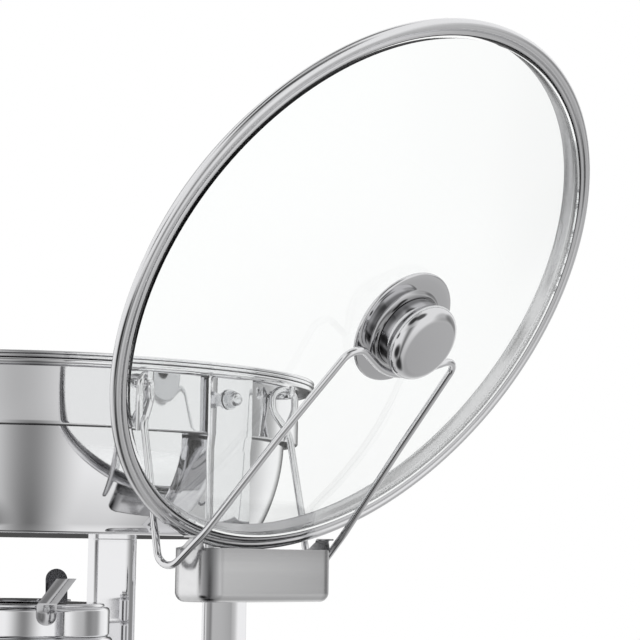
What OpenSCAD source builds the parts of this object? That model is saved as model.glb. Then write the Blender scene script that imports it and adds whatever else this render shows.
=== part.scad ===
// Round chafing dish: a ring stand on three strip legs carries a water pan and a food pan over
// a fuel burner. Its glass lid is parked in a bent-wire holder that hangs from the rim,
// with a small drip tray under the lid's lower edge.
// Axes: Z up from the table, the stand's axis through the origin, the lid holder towards +X.

/* [Stand] */
// Height of the top rim above the table
rim_h = 215; // [205:1:260]
// Outer radius of the stacked pan rims
rim_r = 172; // [170:1:176]
// Outer radius of the band that joins the legs
band_r = 162.5; // [161:0.5:163]
// Height of the band below the rims
band_h = 31; // [26:1:36]
// Sheet thickness of the band
band_t = 0.9; // [0.8:0.1:1]
// Width of a leg strip
leg_w = 34; // [28:1:40]
// Thickness of a leg strip
leg_t = 2; // [1.5:0.1:2.5]

/* [Pans] */
// Depth of the water pan below the top rim
water_depth = 94.8; // [92:0.2:96]
// Depth of the food pan below the top rim
food_depth = 65; // [45:1:66]
// Sheet thickness of both pans
pan_t = 0.8; // [0.6:0.1:0.8]

/* [Lid] */
// Outer radius of the lid's steel rim
lid_r = 157.4; // [155:0.2:158]
// Height of the glass dome above the rim
dome_h = 25; // [22:0.5:26]
// Thickness of the glass
glass_t = 4; // [3:0.5:4.5]
// Radius of the knob's flange
flange_r = 31.4; // [28:0.2:34]
// Radius of the knob's end
knob_r = 21; // [20.5:0.5:22.5]
// How far the parked lid leans out from upright, in degrees
lean = 34; // [33:0.2:34.6]

/* [Lid holder] */
// Diameter of the holder's wire
wire_d = 4; // [3.4:0.1:4.2]
// Bend radius at the foot of each arm
foot_bend = 8.5; // [7:0.5:11]

/* [Drip tray] */
// Length of the tray across the holder
tray_l = 97.6; // [94:0.4:98.4]
// Depth of the tray outwards
tray_w = 31; // [28:1:32]
// Height of the tray
tray_h = 28; // [22:0.5:30]

/* [Burner] */
// Outer radius of the fuel cup
cup_r = 53.5; // [50:0.5:56]
// Height of the fuel cup
cup_h = 36; // [30:1:36]
// Radius of the flame hole
flame_r = 26; // [20:1:28]

/* [Hidden] */
$fn = 72;

steel = "gainsboro";
polished = "silver";
front_a = 2.2;                  // direction of each leg
left_a = 240;
right_a = 120;
leg_angles = [front_a, left_a, right_a];

// rims, from the top down: food pan, water pan, frame
lip_h = 1.7;                    // depth of each pan's rolled lip
rim_gap = 0.2;                  // gap between the stacked rims
food_z = rim_h;
water_z = food_z - lip_h - rim_gap;
frame_z = water_z - lip_h - rim_gap;
curl_r = 0.95;                  // radius of the frame's rolled edge
stack_low = frame_z - 2 * curl_r - band_t;
band_low = rim_h - 6.8 - band_h;

// legs
leg_in = band_r + 0.05;
leg_top = frame_z - band_t - 1.8;
joggle = 1;                     // how far a leg steps in below the band
leg_half_a = asin(leg_w / 2 / (leg_in + leg_t));
bolt_z = band_low + 0.61 * band_h;
bolt_r = 2.5;
glide_h = 3;
toe_l = 16;                     // length of the turned-in toe

// burner heights
shelf_z = 24;
shelf_t = 1.2;
shelf_r = 64;
cup_z = shelf_z + shelf_t + 0.1;
cup_top = cup_z + cup_h;
cover_top = cup_top + 19;
cup_t = 0.9;
cover_r = cup_r - 2.1;
clip_a = -24.5;                   // direction of the cover's clip
pivot_r = 39;                   // distance of the damper's pivot from the burner's axis

// parked lid, measured in the lid's own frame: z towards the knob
lid_x = 272.5;
lid_z = rim_h + 26.4;
skirt_r = lid_r - 9.5;
skirt_h = 9.2;
flange_t = 2;
flange_z = dome_h + 1.6;
neck_z = flange_z + flange_t;
cradle_z = neck_z + 7.9;
barrel_z = cradle_z + wire_d / 2 + 0.4;
knob_end = barrel_z + 9.8;
neck_r = knob_r - 1.7;

// the wire holder's eyes and hooks
eye_x = 161;
eye_y = 53.2;
eye_top = stack_low - 3.2;
eye_half = 6.9;                 // half the width of an eye
eye_len = 25.7;                 // height of an eye down to where its strands cross
eye_turn = 22;                  // how far an eye's face is turned about the vertical
hook_r = 1.8;                   // radius of a hook's rod
hook_z = eye_top - wire_d / 2 - hook_r - 0.2;

shoulder_y = 41;                // where each arm turns in to the cradle
shoulder_s = -7.2;
shoulder_t = 1.5;

// tray
tray_x = 176.9;
tray_top = rim_h - 101.5;
tray_t = 0.9;
tray_corner = 7;
ear_x = 192.8;                  // where the flat top of each ear starts
ear_w = 9.2;
ear_h = 6.2;                    // height of the ears above the tray

// ---------------------------------------------------------------- geometry helpers

function unit(v) = v / norm(v);
function join_lists(lists) = [for (l = lists) each l];
// points on an arc about c from angle a0 to a1, in steps of n
function arc(c, r, a0, a1, n = 8) =
    [for (i = [0:n]) let (a = a0 + (a1 - a0) * i / n) c + r * [cos(a), sin(a)]];
// the corner b between a and c, rounded to radius r
function corner(a, b, c, r, n) =
    let (u = unit(a - b), v = unit(c - b), half = acos(max(-1, min(1, u * v))) / 2,
        d = r / tan(half), m = b + unit(u + v) * r / sin(half),
        p = b + u * d - m, q = b + v * d - m, w = 180 - 2 * half)
    [for (i = [0:n]) m + (sin(w * (1 - i / n)) * p + sin(w * i / n) * q) / sin(w)];
// a path through points pts, with each inner point rounded to the radius in rs
function bent(pts, rs, n = 6) =
    let (last = len(pts) - 1)
    join_lists([[pts[0]],
        for (i = [1:last - 1]) rs[i - 1] > 0
            ? corner(pts[i - 1], pts[i], pts[i + 1], rs[i - 1], n) : [pts[i]],
        [pts[last]]]);
function turn90(v) = [-v[1], v[0]];
// sideways direction at point i of a flat path
function side(p, i) =
    let (last = len(p) - 1,
        a = i == 0 ? unit(p[1] - p[0]) : unit(p[i] - p[i - 1]),
        b = i == last ? a : unit(p[i + 1] - p[i]),
        s = unit(turn90(a) + turn90(b)))
    s / max(0.3, s * turn90(a));
// a path without repeated points
function distinct(p) =
    [for (i = [0:len(p) - 1]) if (i == 0 || norm(p[i] - p[max(0, i - 1)]) > 0.02) p[i]];
// outline of a sheet of thickness t along a flat path
function outline(p, t) =
    concat([for (i = [0:len(p) - 1]) p[i] + side(p, i) * t / 2],
        [for (i = [len(p) - 1:-1:0]) p[i] - side(p, i) * t / 2]);
function sheet(p, t) = outline(distinct(p), t);

// a turned sheet-metal part: path of [radius, height] points
module spun(p, t) {
    rotate_extrude() polygon(sheet(p, t));
}

// steady frames along a path in space, carried from point to point
function tangent(p, i) =
    i == 0 ? unit(p[1] - p[0]) : i == len(p) - 1 ? unit(p[i] - p[i - 1])
    : unit(unit(p[i + 1] - p[i]) + unit(p[i] - p[i - 1]));
function carried(p, i, x) =
    let (t = tangent(p, i), y = unit(x - (x * t) * t))
    i == len(p) - 1 ? [y] : concat([y], carried(p, i + 1, y));
// a round wire of diameter d along a path in space
module wire(p, d, start_side, sides = 10) {
    xs = carried(p, 0, start_side);
    last = len(p) - 1;
    ring = [for (i = [0:last]) let (t = tangent(p, i), x = xs[i], y = cross(t, x))
        for (k = [0:sides - 1]) let (a = 360 * k / sides)
            p[i] + d / 2 * (cos(a) * x + sin(a) * y)];
    faces = join_lists([[[for (k = [0:sides - 1]) k]],
        for (i = [0:last - 1]) [for (k = [0:sides - 1]) let (m = (k + 1) % sides)
            [i * sides + k, (i + 1) * sides + k, (i + 1) * sides + m, i * sides + m]],
        [[for (k = [sides - 1:-1:0]) last * sides + k]]]);
    polyhedron(ring, faces, convexity = 8);
}

module around(angles) {
    for (a = angles) rotate([0, 0, a]) children();
}

// puts a piece drawn in the lid's own frame into the parked position
module parked() {
    translate([lid_x, 0, lid_z]) rotate([0, 90 + lean, 0]) children();
}

// ---------------------------------------------------------------- stand

// band with a flat seat for the water pan and an edge rolled under
module frame_band() {
    color(steel) difference() {
        spun(join_lists([
            [[band_r - band_t / 2, band_low]],
            arc([band_r - band_t / 2 + 2, frame_z - band_t / 2 - 2], 2, 180, 90, 4),
            arc([rim_r - 0.4 - curl_r - band_t / 2, frame_z - curl_r - band_t / 2], curl_r,
                90, -170, 14)]), band_t);
        around(leg_angles) translate([band_r - 5, 0, bolt_z]) rotate([0, 90, 0])
            cylinder(r = bolt_r, h = 10);
    }
}

// one leg: a strip curved to the band, stepped in below it, with a toe turned in on the table
module leg(a) {
    r0 = leg_in + leg_t / 2;
    path = bent([[r0, leg_top], [r0, band_low - 1.2], [r0 - joggle, band_low - 9],
        [r0 - joggle, glide_h + leg_t / 2], [r0 - joggle - toe_l, glide_h + leg_t / 2]],
        [6, 6, 5], 5);
    color(polished) difference() {
        rotate([0, 0, a - leg_half_a]) rotate_extrude(angle = 2 * leg_half_a)
            polygon(sheet(path, leg_t));
        rotate([0, 0, a]) translate([band_r - 5, 0, bolt_z]) rotate([0, 90, 0])
            cylinder(r = bolt_r, h = 12);
        rotate([0, 0, a]) translate([leg_in - joggle - 3, 0, shelf_z + 0.6]) rotate([0, 90, 0])
            cylinder(r = 2, h = 8);
    }
}

module front_leg() { leg(front_a); }

module left_leg() { leg(left_a); }

module right_leg() { leg(right_a); }

// pan-head bolts from inside the band
module leg_bolts() {
    color(polished) around(leg_angles) translate([band_r - band_t, 0, bolt_z])
        rotate([0, 90, 0]) {
            translate([0, 0, -0.5]) cylinder(r = bolt_r - 0.05, h = band_t + leg_t + 5.5);
            translate([0, 0, -1.7]) cylinder(r1 = 3.4, r2 = 4.6, h = 1.6);
        }
}

module leg_washers() {
    color(polished) around(leg_angles) translate([leg_in + leg_t, 0, bolt_z])
        rotate([0, 90, 0]) difference() {
            cylinder(r = 5.6, h = 1);
            translate([0, 0, -1]) cylinder(r = bolt_r, h = 3);
        }
}

// domed nuts
module leg_nuts() {
    color(polished) around(leg_angles) translate([leg_in + leg_t + 1, 0, bolt_z])
        rotate([0, 90, 0]) difference() {
            union() {
                cylinder(r = 4.6, h = 3.4, $fn = 6);
                translate([0, 0, 3.4]) intersection() {
                    sphere(r = 3.9);
                    cylinder(r = 5, h = 5);
                }
            }
            translate([0, 0, -1]) cylinder(r = bolt_r - 0.05, h = 5.6);
        }
}

// plastic glides under the toes
module foot_glides() {
    w = leg_in + leg_t - joggle;
    color("dimgray") around(leg_angles) intersection() {
        rotate_extrude() polygon([[w - toe_l - 1, 0], [w - 1, 0], [w, 1], [w, glide_h],
            [w - toe_l - 2, glide_h], [w - toe_l - 2, 1]]);
        translate([w - toe_l / 2, 0, 2]) cube([60, leg_w - 4, 10], center = true);
    }
}

// two rods bent up at the tip, which the holder's eyes hang on
module holder_hooks() {
    a = atan(eye_y / eye_x);
    r_eye = norm([eye_x, eye_y]);
    path = bent([[band_r + 0.05, 0, hook_z], [r_eye + 5, 0, hook_z],
        [r_eye + 5.5, 0, hook_z + 5.6]], [2.4], 5);
    color(polished) for (s = [-1, 1]) rotate([0, 0, s * a]) {
        wire(path, 2 * hook_r, [0, 1, 0], 12);
        translate([band_r + 0.05, 0, hook_z]) rotate([0, 90, 0]) cylinder(r = 3.4, h = 1);
    }
}

// dished shelf with an upturned rim that keeps the burner in place
module fuel_shelf() {
    color(steel) difference() {
        spun(bent([[14, shelf_z + shelf_t / 2], [shelf_r - 1, shelf_z + shelf_t / 2],
            [shelf_r, shelf_z + 7]], [3], 5), shelf_t);
        around(leg_angles) translate([shelf_r - 7, 0, shelf_z - 1]) cylinder(r = 1.6, h = 4);
    }
}

// flat arm from the shelf out to a leg, with its end turned up against the leg
module arm(a) {
    r_end = leg_in - joggle - 0.9;
    z0 = shelf_z - 0.8;
    path = bent([[shelf_r - 12, z0], [r_end - 14, z0], [r_end - 0.05, z0 - 4],
        [r_end - 0.05, z0 + 9]], [12, 2.5], 5);
    color(steel) difference() {
        rotate([0, 0, a]) translate([0, 8, 0]) rotate([90, 0, 0])
            linear_extrude(16) polygon(sheet(path, 1.5));
        rotate([0, 0, a]) translate([shelf_r - 7, 0, z0 - 3]) cylinder(r = 1.6, h = 6);
        rotate([0, 0, a]) translate([r_end - 4, 0, shelf_z + 0.6]) rotate([0, 90, 0])
            cylinder(r = 2, h = 8);
    }
}

module front_arm() { arm(front_a); }

module left_arm() { arm(left_a); }

module right_arm() { arm(right_a); }

module shelf_rivets() {
    color(polished) around(leg_angles) translate([shelf_r - 7, 0, 0]) {
        translate([0, 0, shelf_z - 1.55]) cylinder(r = 1.55, h = shelf_t + 1.55);
        translate([0, 0, shelf_z - 2.35]) cylinder(r1 = 2.2, r2 = 3, h = 0.8);
        translate([0, 0, shelf_z + shelf_t]) cylinder(r1 = 3, r2 = 2.2, h = 0.8);
    }
}

module arm_screws() {
    r_out = leg_in - joggle + leg_t;
    color(polished) around(leg_angles) translate([r_out, 0, shelf_z + 0.6])
        rotate([0, 90, 0]) difference() {
            union() {
                translate([0, 0, -leg_t - 4]) cylinder(r = 1.95, h = leg_t + 4.5);
                cylinder(r1 = 4, r2 = 2.6, h = 2);
            }
            translate([0, 0, 1]) cylinder(r = 1.3, h = 2, $fn = 6);
        }
}

// ---------------------------------------------------------------- pans

// folded outer edge of a pan whose rim is at height z
function hem(z) = arc([rim_r - 0.9, z - lip_h / 2], (lip_h - pan_t) / 2, 90, -90, 6);

// deep pan that drops through the band and steps in below it
module water_pan() {
    bottom = rim_h - water_depth + pan_t / 2;
    c = [44.1, rim_h - 34.8];       // centre of the belly's curve
    r = 110 - pan_t / 2;
    color(polished) spun(join_lists([
        bent([[0, bottom], [136.2, bottom], c + r * [cos(28), -sin(28)]], [6], 5),
        arc(c, r, -26, -1, 9),
        bent([c + [r, 1], c + [r, 4], [158.7, c[1] + 10], [158.7, water_z - 4]], [6, 6], 4),
        arc([160.7, water_z - pan_t / 2 - 2], 2, 180, 90, 4),
        hem(water_z)]), pan_t);
}

// shallow pan that hangs inside the water pan
module food_pan() {
    bottom = rim_h - food_depth;
    color(polished) spun(join_lists([
        [[0, bottom + pan_t / 2]],
        arc([134, bottom + 10 + pan_t / 2], 10, -90, -8, 7),
        [[150.6, food_z - 4]],
        arc([152.8, food_z - pan_t / 2 - 2], 2, 180, 90, 4),
        hem(food_z)]), pan_t);
}

// ---------------------------------------------------------------- lid holder and tray

// a point by the knob's neck: y across the holder, s up the leaning lid, t out along the knob
function cradle(y, s, t = 0) =
    [lid_x + (cradle_z + t) * cos(lean) + s * sin(lean), y,
     lid_z - (cradle_z + t) * sin(lean) + s * cos(lean)];

// one arm: the eye's tail, the eye, down behind the lid, round the foot and up to the cradle
function arm_path(m) =
    let (w = eye_half * [-sin(eye_turn), -m * cos(eye_turn), 0],
        o = [eye_x, m * eye_y, eye_top],
        down = [0, 0, -12])
    join_lists([
        bent([[158.4, m * 55, eye_top - eye_len - 3],
            o - w + down,
            o - w,
            o + w,
            o + w + down,
            [163.2, m * 56, eye_top - eye_len],
            [180.7, m * 57.3, rim_h - 118.2],
            [209.1, m * 52.8, rim_h - 93.1],
            [254.2, m * 47.2, rim_h - 46.3],
            cradle(m * shoulder_y, shoulder_s, shoulder_t)],
            [12, 6.4, 6.4, 12, 14, foot_bend, 80, 200], 6)]);

// one continuous wire: eye, arm, cradle under the knob, arm, eye
module holder_wire() {
    right = arm_path(1);
    left = arm_path(-1);
    n = len(right);
    k = cradle(shoulder_y, shoulder_s, shoulder_t);
    k2 = cradle(-shoulder_y, shoulder_s, shoulder_t);
    low = cradle(0, -26.5);
    path = join_lists([
        [for (i = [0:n - 2]) right[i]],
        corner(right[n - 2], k, low, 8, 6),
        corner(k, low, k2, 42, 8),
        corner(low, k2, left[n - 2], 8, 6),
        [for (i = [n - 2:-1:0]) left[i]]]);
    color("silver") wire(path, wire_d, [1, 0, 0]);
}

// round-cornered block from z0 up, used for the tray's outside and inside
module tray_block(l, w, h, r) {
    hull() for (x = [-1, 1], y = [-1, 1])
        translate([x * (w / 2 - r), y * (l / 2 - r), 0]) {
            translate([0, 0, r * 0.6]) scale([1, 1, 0.6]) sphere(r = r, $fn = 24);
            translate([0, 0, h - 1]) cylinder(r = r, h = 1, $fn = 24);
        }
}

// ear: a tongue of the tray's end wall that rises and folds out against an arm of the wire
module ear() {
    wall = tray_l / 2 - tray_t / 2;
    top = tray_top + ear_h - tray_t / 2;
    rotate([90, 0, 0]) translate([0, 0, -tray_l / 2]) linear_extrude(tray_t)
        polygon(concat([[ear_x + ear_w + 2, tray_top - 1], [ear_x - 9, tray_top - 1]],
            bent([[ear_x - 9, tray_top], [ear_x - 5, tray_top + 0.6], [ear_x - 1.6, tray_top + 3.4],
                [ear_x, top - 1.4]], [5, 4], 4),
            [[ear_x + ear_w, top - 1.4], [ear_x + ear_w + 0.6, tray_top + 1.5]]));
    translate([ear_x, 0, 0]) rotate([90, 0, 90]) linear_extrude(ear_w)
        polygon(sheet(bent([[wall, tray_top + 2], [wall, top], [wall + 4.3, top]], [1.4], 4),
            tray_t));
}

// deep-drawn tray, open on top, with an ear on each end
module drip_tray() {
    inside = tray_corner - tray_t;
    color(steel) {
        translate([tray_x + tray_w / 2, 0, tray_top - tray_h]) difference() {
            tray_block(tray_l, tray_w, tray_h, tray_corner);
            translate([0, 0, tray_t])
                tray_block(tray_l - 2 * tray_t, tray_w - 2 * tray_t, tray_h + 5, inside);
        }
        ear();
        mirror([0, 1, 0]) ear();
    }
}

// ---------------------------------------------------------------- lid

// pressed steel rim: flange with a rolled edge, and a skirt that drops inside the food pan
module lid_rim() {
    color(polished) parked() spun(join_lists([
        arc([lid_r - 1.8, -1.2], 1.4, -120, 90, 8),
        arc([skirt_r + 0.8, -1.4], 1.6, 90, 180, 4),
        [[skirt_r - 0.6, -skirt_h]]]), 0.8);
}

module lid_glass() {
    edge = skirt_r - 1.25;
    rad = (edge * edge + dome_h * dome_h) / 2 / dome_h;
    ang = asin(edge / rad);
    outer = arc([0, dome_h - rad], rad, 90, 90 - ang, 16);
    inner = arc([0, dome_h - rad - glass_t * 0.2], rad - glass_t * 0.8, 90 - ang, 90, 16);
    color("azure", 0.4) parked() difference() {
        rotate_extrude() polygon(concat(outer, inner));
        translate([0, 0, -5]) cylinder(r = 4, h = 50);
    }
}

module knob_flange() {
    color(polished) parked() difference() {
        rotate_extrude() polygon(concat([[0, dome_h + 0.1], [flange_r - 8, dome_h + 0.1]],
            arc([flange_r - 1, flange_z + 1], 1, -90, 90, 4),
            [[0, neck_z]]));
        cylinder(r = 2.6, h = 60);
    }
}

// turned barrel with a neck groove that the cradle wire runs in
module knob_body() {
    color(polished) parked() difference() {
        rotate_extrude() polygon(join_lists([
            [[0, neck_z + 0.02]],
            arc([neck_r + 3.6, neck_z + 3.62], 3.6, 270, 180, 6),
            [[neck_r, barrel_z - 1.4]],
            arc([knob_r - 2.4, barrel_z + 3], 2, -60, 20, 4),
            arc([knob_r - 1.2, knob_end - 1.2], 1.2, 0, 80, 4),
            [[0, knob_end + 0.6]]]));
        cylinder(r = 2.45, h = knob_end - 5);
    }
}

module knob_washer() {
    color("dimgray") parked() difference() {
        translate([0, 0, dome_h - glass_t - 1.75]) cylinder(r = 12, h = 1.5);
        cylinder(r = 2.6, h = 60);
    }
}

module knob_screw() {
    z0 = dome_h - glass_t - 1.8;
    color(polished) parked() difference() {
        union() {
            translate([0, 0, z0 - 2.2]) cylinder(r1 = 3.2, r2 = 5, h = 2.2);
            translate([0, 0, z0 - 0.1]) cylinder(r = 2.4, h = knob_end - 6 - z0);
        }
        translate([0, 0, z0 - 2.6]) rotate([0, 0, 45]) cube([6, 1, 2.2], center = true);
        translate([0, 0, z0 - 2.6]) rotate([0, 0, 135]) cube([6, 1, 2.2], center = true);
    }
}

// ---------------------------------------------------------------- burner

// cup for a tin of fuel, its mouth drawn in to a shoulder
module fuel_cup() {
    color(steel) spun(join_lists([
        [[0, cup_z + cup_t / 2]],
        arc([cup_r - 5, cup_z + 4.5 + cup_t / 2], 4.5, -90, 0, 5),
        arc([cup_r - 3.5, cup_top - 3.6], 3, 0, 80, 5),
        [[cup_r - 4.2, cup_top - 0.6]]]), cup_t);
}

// cover that sits on the cup, with a lip inside it and the flame hole in its top
module burner_cover() {
    color(polished) difference() {
        spun(join_lists([
            [[cup_r - 5.4, cup_top - 6], [cup_r - 5.4, cup_top + 0.1]],
            [[cover_r - 1, cup_top + 0.4], [cover_r - 0.4, cup_top + 1.2]],
            arc([cover_r - 2.8, cover_top - 4.4], 2.4, 0, 60, 4),
            arc([cover_r - 4.6, cover_top - 1.2], 1, -30, 90, 4),
            [[flame_r, cover_top - 0.6]]]), 0.8);
        rotate([0, 0, clip_a]) translate([pivot_r, 0, cover_top - 3]) cylinder(r = 1.5, h = 6);
    }
}

// strap folded over the cover's edge: round end on the skirt, flared tab above
module cover_clip() {
    w = 12;
    color(steel) rotate([0, 0, clip_a]) {
        intersection() {
            rotate_extrude() translate([cover_r + 0.02, cup_top]) square([1, 24]);
            union() {
                translate([cover_r, 0, cover_top - 6]) rotate([0, 90, 0])
                    cylinder(r = w / 2, h = 20, center = true);
                translate([cover_r - 10, -w / 2, cover_top - 6]) cube([20, w, 6.95]);
            }
        }
        hull() {
            translate([cover_r + 0.02, -w / 2, cover_top + 0.35]) cube([1, w, 0.6]);
            translate([cover_r + 3.6, -w / 2 + 10.4, cover_top + 15]) cube([1, w + 1, 0.6]);
        }
        difference() {
            translate([pivot_r - 6, -w / 2, cover_top + 0.25])
                cube([cover_r + 7 - pivot_r, w, 0.7]);
            translate([pivot_r, 0, cover_top]) cylinder(r = 1.55, h = 2);
        }
    }
}

// disc that swings over the flame hole, with an upright tab
module damper_disc() {
    color(steel) difference() {
        union() {
            translate([0, 0, cover_top + 1.25]) cylinder(r = flame_r + 2, h = 0.8);
            rotate([0, 0, clip_a]) translate([0, -6, cover_top + 1.25]) cube([pivot_r, 12, 0.8]);
            rotate([0, 0, clip_a]) translate([pivot_r, 0, cover_top + 1.25])
                cylinder(r = 6, h = 0.8);
            rotate([0, 0, clip_a]) translate([pivot_r + 5.2, 1.2, cover_top + 1.25])
                rotate([0, -6, 0]) {
                    cube([0.8, 13, 12.9]);
                    translate([0, 6.5, 12.9]) rotate([0, 90, 0]) cylinder(r = 6.5, h = 0.8);
                }
        }
        rotate([0, 0, clip_a]) translate([pivot_r, 0, cover_top]) cylinder(r = 1.55, h = 6);
    }
}

module damper_rivet() {
    color(polished) rotate([0, 0, clip_a]) translate([pivot_r, 0, 0]) {
        translate([0, 0, cover_top - 1]) cylinder(r = 1.5, h = 3.2);
        translate([0, 0, cover_top + 2.1]) cylinder(r1 = 3, r2 = 2, h = 1);
        translate([0, 0, cover_top - 1.9]) cylinder(r1 = 2, r2 = 3, h = 0.9);
    }
}

frame_band();
front_leg();
left_leg();
right_leg();
leg_bolts();
leg_washers();
leg_nuts();
foot_glides();
holder_hooks();
fuel_shelf();
front_arm();
left_arm();
right_arm();
shelf_rivets();
arm_screws();
water_pan();
food_pan();
holder_wire();
drip_tray();
lid_rim();
lid_glass();
knob_flange();
knob_body();
knob_washer();
knob_screw();
fuel_cup();
burner_cover();
cover_clip();
damper_disc();
damper_rivet();
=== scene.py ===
import math
import bpy
from mathutils import Matrix, Vector


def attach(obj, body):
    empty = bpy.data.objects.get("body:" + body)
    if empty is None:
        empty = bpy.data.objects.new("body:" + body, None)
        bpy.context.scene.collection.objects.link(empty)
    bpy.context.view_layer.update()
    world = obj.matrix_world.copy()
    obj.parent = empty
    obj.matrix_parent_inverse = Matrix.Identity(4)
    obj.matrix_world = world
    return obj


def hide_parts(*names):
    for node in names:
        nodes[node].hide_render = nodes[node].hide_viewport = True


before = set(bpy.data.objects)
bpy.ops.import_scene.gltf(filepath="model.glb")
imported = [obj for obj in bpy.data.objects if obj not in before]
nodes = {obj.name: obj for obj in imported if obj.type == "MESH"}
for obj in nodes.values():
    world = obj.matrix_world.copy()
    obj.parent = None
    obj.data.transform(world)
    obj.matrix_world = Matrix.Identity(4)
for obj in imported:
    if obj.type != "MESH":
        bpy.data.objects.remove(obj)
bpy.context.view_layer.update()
print("frame loaded with", len(nodes), "nodes")

mm = 0.001


# camera first, so that everything else is made in its view
cameraPlan = {
    "place": (0.934, -0.759, 0.108), "towards": (-0.671, 0.7315, 0.1214), "roll": 0.83,
    "lens": 110.475, "sensor": 36, "far": 30,
}


def placeCamera(plan):
    ahead = Vector(plan["towards"]).normalized()
    right = ahead.cross(Vector((0, 0, 1))).normalized()
    up = right.cross(ahead)
    turn = math.radians(plan["roll"])
    cos, sin = math.cos(turn), math.sin(turn)
    right, up = right * cos + up * sin, up * cos - right * sin
    bpy.ops.object.camera_add()
    camera = bpy.context.object
    camera.name = "studioCamera"
    camera.data.lens = plan["lens"]
    camera.data.sensor_width = plan["sensor"]
    camera.data.clip_end = plan["far"]
    axes = Matrix((right, up, -ahead)).transposed().to_4x4()
    camera.matrix_world = Matrix.Translation(plan["place"]) @ axes
    bpy.context.scene.camera = camera


placeCamera(cameraPlan)
bpy.context.scene.view_settings.view_transform = "Standard"
print("camera placed")


# a node tree's values written as Python expressions
class Value:
    def __init__(self, tree, socket):
        self.tree = tree
        self.socket = socket

    def combine(self, operation, a, b):
        return self.tree.add("ShaderNodeMath", {"operation": operation}, {0: a, 1: b})

    def __add__(self, other):
        return self.combine("ADD", self, other)

    def __radd__(self, other):
        return self.combine("ADD", other, self)

    def __sub__(self, other):
        return self.combine("SUBTRACT", self, other)

    def __rsub__(self, other):
        return self.combine("SUBTRACT", other, self)

    def __mul__(self, other):
        return self.combine("MULTIPLY", self, other)

    def __rmul__(self, other):
        return self.combine("MULTIPLY", other, self)

    def __truediv__(self, other):
        return self.combine("DIVIDE", self, other)

    def __rtruediv__(self, other):
        return self.combine("DIVIDE", other, self)

    def __pow__(self, other):
        return self.combine("POWER", self, other)

    def __neg__(self):
        return self.combine("MULTIPLY", self, -1.0)

    def __abs__(self):
        return self.tree.add("ShaderNodeMath", {"operation": "ABSOLUTE"}, {0: self})

    def __getitem__(self, name):
        return Value(self.tree, self.socket.node.outputs[name])


class Tree:
    def __init__(self, nodeTree):
        self.nodes = nodeTree.nodes
        self.links = nodeTree.links

    # any node: its type, its settings, then the values or links of its sockets
    def add(self, kind, settings=None, sockets=None):
        node = self.nodes.new(kind)
        for name, setting in (settings or {}).items():
            setattr(node, name, setting)
        self.fill(node, sockets or {})
        shown = [s for s in node.outputs if s.enabled]
        return Value(self, shown[0]) if shown else None

    def fill(self, node, sockets):
        for name, given in sockets.items():
            if isinstance(given, Value):
                self.links.new(given.socket, node.inputs[name])
            else:
                node.inputs[name].default_value = given

    # position in metres, moved and turned into a piece's own axes
    def coordinates(self, centre=(0, 0, 0), turn=(0, 0, 0)):
        here = self.add("ShaderNodeTexCoord")["Object"]
        return self.add("ShaderNodeMapping", {"vector_type": "TEXTURE"},
                        {"Vector": here, "Location": centre, "Rotation": turn})

    def split(self, vector):
        parts = self.add("ShaderNodeSeparateXYZ", {}, {0: vector})
        return parts["X"], parts["Y"], parts["Z"]

    def join(self, x, y, z):
        return self.add("ShaderNodeCombineXYZ", {}, {0: x, 1: y, 2: z})

    def scaled(self, vector, factors):
        return self.add("ShaderNodeVectorMath", {"operation": "MULTIPLY"}, {0: vector, 1: factors})

    def noise(self, vector, scale, detail=2.0, roughness=0.5):
        return self.add("ShaderNodeTexNoise", {},
                        {"Vector": vector, "Scale": scale, "Detail": detail, "Roughness": roughness})

    def bump(self, height, strength, distance):
        return self.add("ShaderNodeBump", {}, {"Strength": strength, "Distance": distance, "Height": height})

    # a smooth step from one level to another while the value goes from low to high
    def between(self, value, low, high, toLow=0.0, toHigh=1.0):
        return self.add("ShaderNodeMapRange", {"interpolation_type": "SMOOTHSTEP"},
                        {0: value, 1: low, 2: high, 3: toLow, 4: toHigh})

    def tint(self, mask, first, second):
        return self.add("ShaderNodeMix", {"data_type": "RGBA"}, {0: mask, 6: first, 7: second})[2]


def newMaterial(name):
    material = bpy.data.materials.new(name)
    material.use_nodes = True
    tree = Tree(material.node_tree)
    shader = material.node_tree.nodes["Principled BSDF"]
    return material, tree, shader


# a shader colour a little darker and bluer than the one given
def darker(colour, factor):
    return (colour[0] * factor, colour[1] * factor, colour[2] * (factor + 0.005), 1)


# lid axes: x down the leaning lid, z out along the knob
lidPlace = {"centre": (272.5 * mm, 0, 241.4 * mm), "lean": 34}
lidTurn = (0, math.radians(90 + lidPlace["lean"]), 0)


# mirror-polished sheet with the fine rings that a polishing wheel leaves on a turned part
polish = {
    "ringScale": 1400.0, "driftScale": 9.0, "smudgeScale": 22.0, "hairScale": (260.0, 300.0, 1900.0),
    "hairShare": 0.35, "strength": 0.035, "depth": 0.00004, "smudgeTone": 0.97, "fade": 0.2 * mm,
    # the last tone is painted shade, laid into the knob's cove
    "darkTone": (0.24, 0.24, 0.245, 1),
}
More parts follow.
